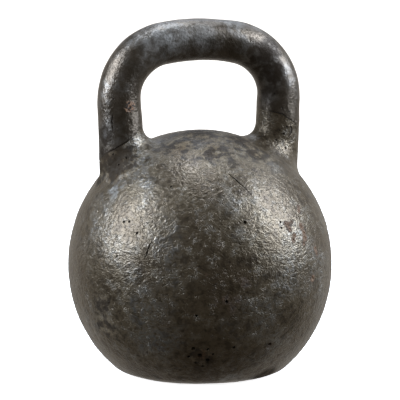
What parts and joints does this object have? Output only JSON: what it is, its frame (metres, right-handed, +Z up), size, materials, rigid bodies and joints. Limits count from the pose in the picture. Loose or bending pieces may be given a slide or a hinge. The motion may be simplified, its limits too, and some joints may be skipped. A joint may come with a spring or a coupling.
{
  "type": "kettlebell",
  "caption": "Heavy cast-iron kettlebell: round ball with a flat base, cast round the legs of a forged round-bar handle.",
  "frame": {"origin": "centre of the flat face that the ball stands on", "axes": "+Z up from the base through the grip; the handle's loop lies in the XZ plane; -Y is the front"},
  "size_m": [0.204, 0.204, 0.2721],
  "materials": {
    "cast_iron_body": "old sand-cast skin, browned and worn semi-bright on high spots",
    "forged_handle": "hammer-forged round bar, dark, polished by hands",
    "plug_iron": "driven iron plug, hammer marks, light rust",
    "lead": "dull grey oxidised lead"
  },
  "bodies": {
    "root": {"ball_casting": "cast_iron_body", "handle_bar": "forged_handle", "base_plug": "plug_iron", "plug_caulking": "lead", "trim_lead": "lead"}
  },
  "joints": []
}
